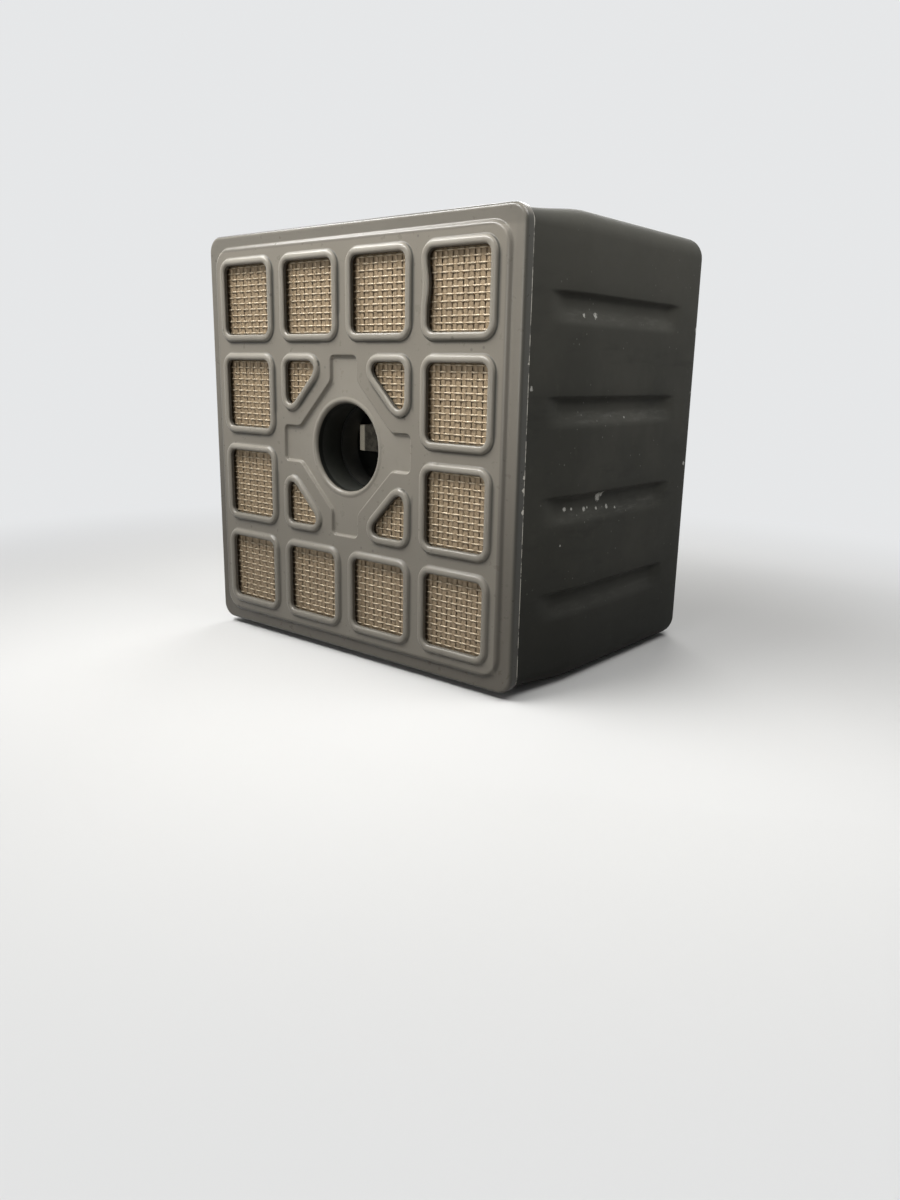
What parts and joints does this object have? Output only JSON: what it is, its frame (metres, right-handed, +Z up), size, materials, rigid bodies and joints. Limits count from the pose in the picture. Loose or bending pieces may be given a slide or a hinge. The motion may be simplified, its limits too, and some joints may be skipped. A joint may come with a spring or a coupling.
{
  "type": "carbon dioxide absorber canister",
  "caption": "Square drawn-metal absorber canister with windowed mesh faces, a grooved case, and a round bypass bore with a pull strap in it.",
  "frame": {"origin": "under the middle of the whole, on the surface that it stands on", "axes": "+Z up, -Y out of the cover's face, so the bypass bore runs along Y"},
  "size_m": [0.189, 0.1446, 0.189],
  "materials": {
    "cover_metal": "warm mid grey, semi-gloss, worn bright at the edges",
    "case_metal": "charcoal, matt, with small chips",
    "wire_mesh": "woven bronze wire, dull",
    "filter_felt": "tan felt",
    "absorbent": "pale packed grains",
    "strap_webbing": "pale cream webbing, a little soiled",
    "rivet_metal": "satin"
  },
  "bodies": {
    "root": {"front_cover": "cover_metal", "canister_body": "case_metal", "front_screen": "wire_mesh", "front_filter_felt": "filter_felt", "absorber_bed": "absorbent", "rear_filter_felt": "filter_felt", "rear_screen": "wire_mesh", "bypass_tube": "case_metal", "front_sleeve": "case_metal", "rear_sleeve": "case_metal", "strap_ring": "case_metal", "pull_strap": "strap_webbing", "strap_rivets": "rivet_metal"}
  },
  "joints": []
}
